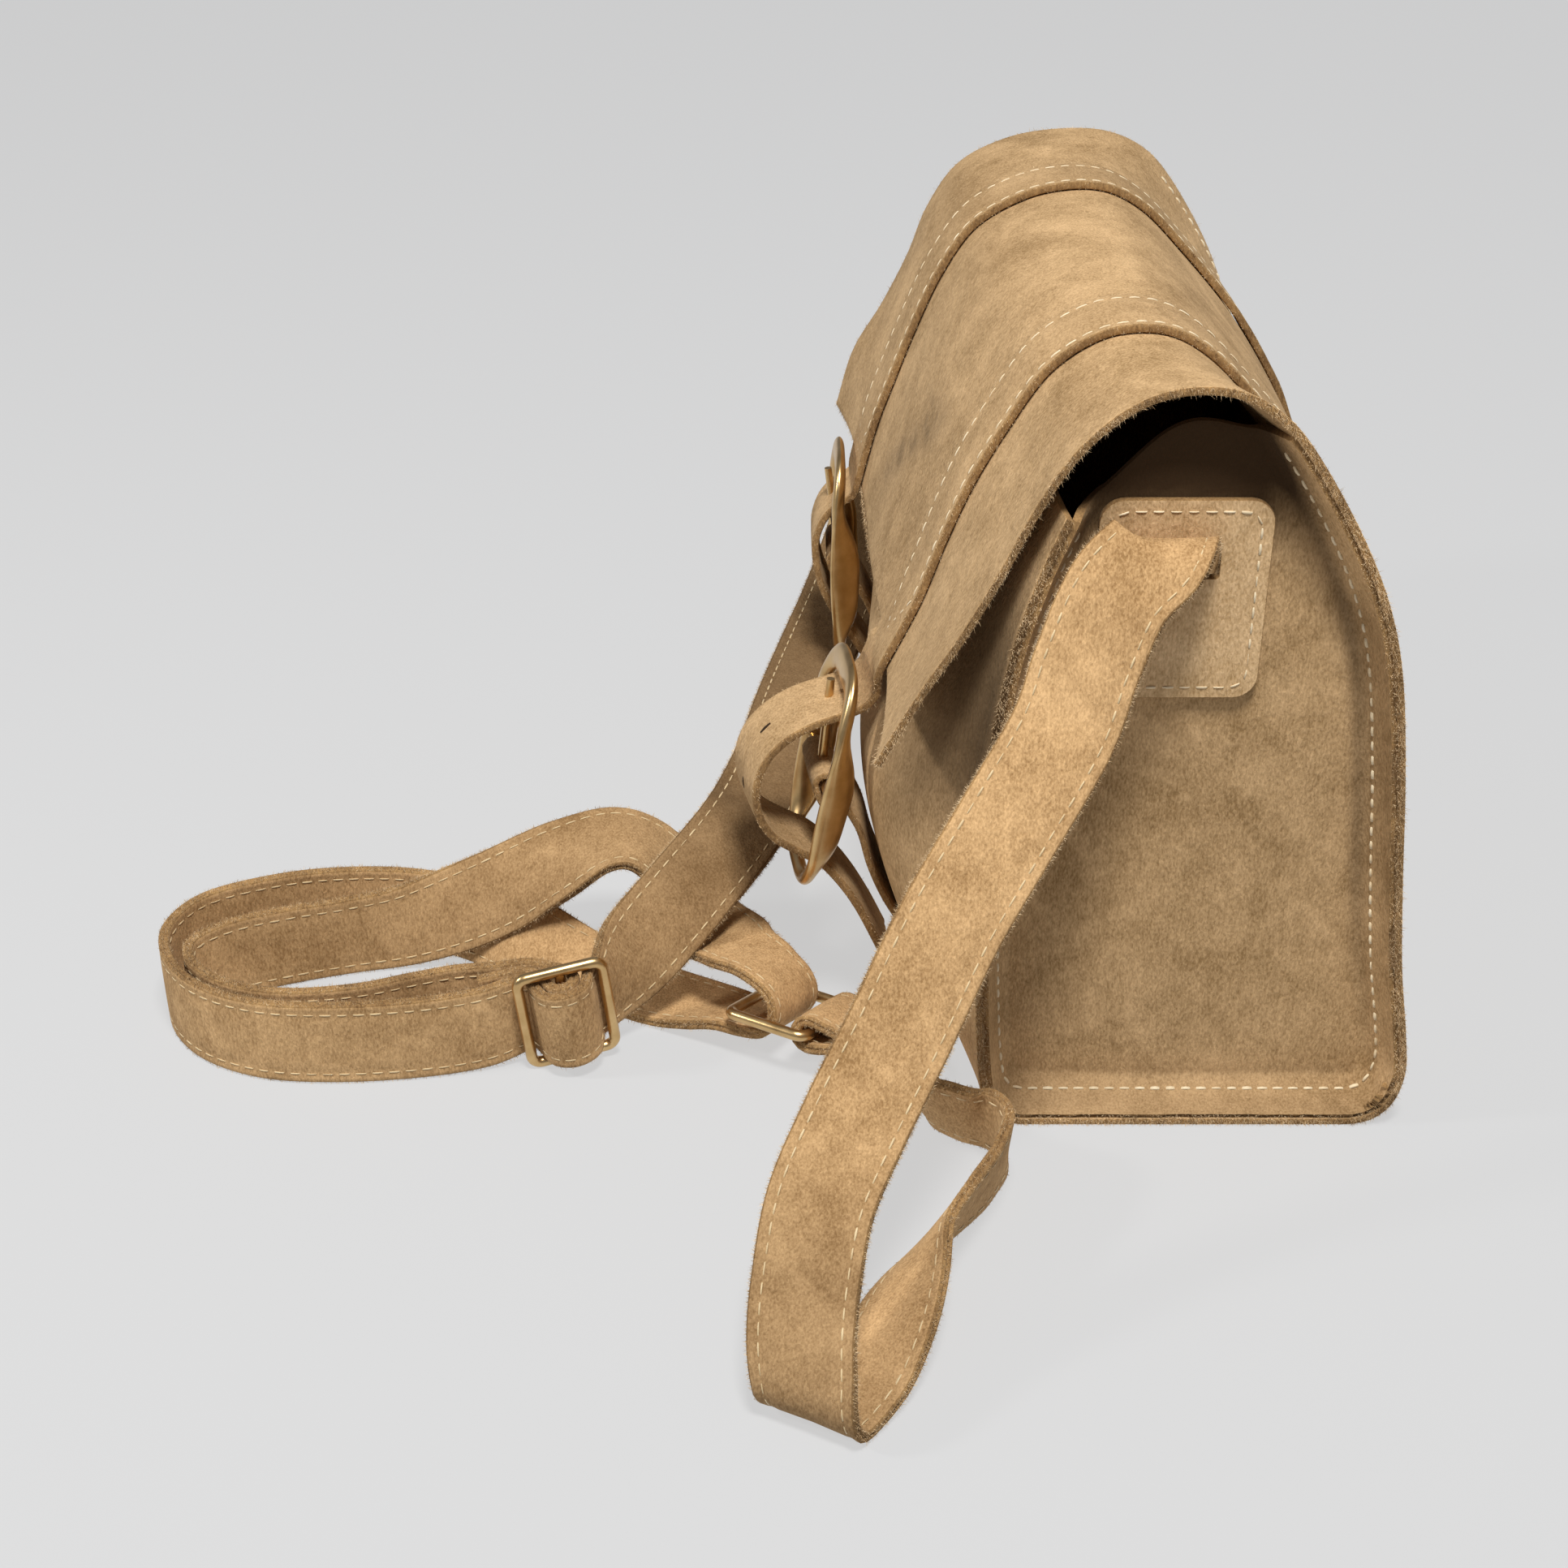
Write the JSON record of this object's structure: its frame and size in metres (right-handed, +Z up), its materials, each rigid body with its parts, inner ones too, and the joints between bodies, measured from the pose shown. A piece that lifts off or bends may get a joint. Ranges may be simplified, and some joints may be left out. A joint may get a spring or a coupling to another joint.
{
  "type": "suede crossbody bag",
  "caption": "Soft flap-over suede satchel with sunken side panels, strap and buckle closures and a long adjustable shoulder strap laid out beside it.",
  "frame": {"origin": "middle of the bag's flat bottom, on the surface it stands on", "axes": "+X along the bag to its right-hand side panel, -Y out of its front, +Z up"},
  "size_m": [0.3971, 0.3472, 0.2115],
  "materials": {
    "suede": "tan suede with a soft nap",
    "strap_suede": "tan suede, two layers sewn together",
    "hardware": "antique satin"
  },
  "bodies": {
    "root": {"body_wrap": "suede", "gusset_right": "suede", "gusset_left": "suede", "side_patch_right": "suede", "side_patch_left": "suede", "closure_strap_right": "suede", "closure_strap_left": "suede", "buckle_chape_right": "suede", "buckle_chape_left": "suede", "buckle_frame_right": "hardware", "buckle_frame_left": "hardware", "buckle_prong_right": "hardware", "buckle_prong_left": "hardware", "shoulder_strap_short": "strap_suede", "shoulder_strap_long": "strap_suede", "strap_slider": "hardware", "strap_ring": "hardware"}
  },
  "joints": []
}
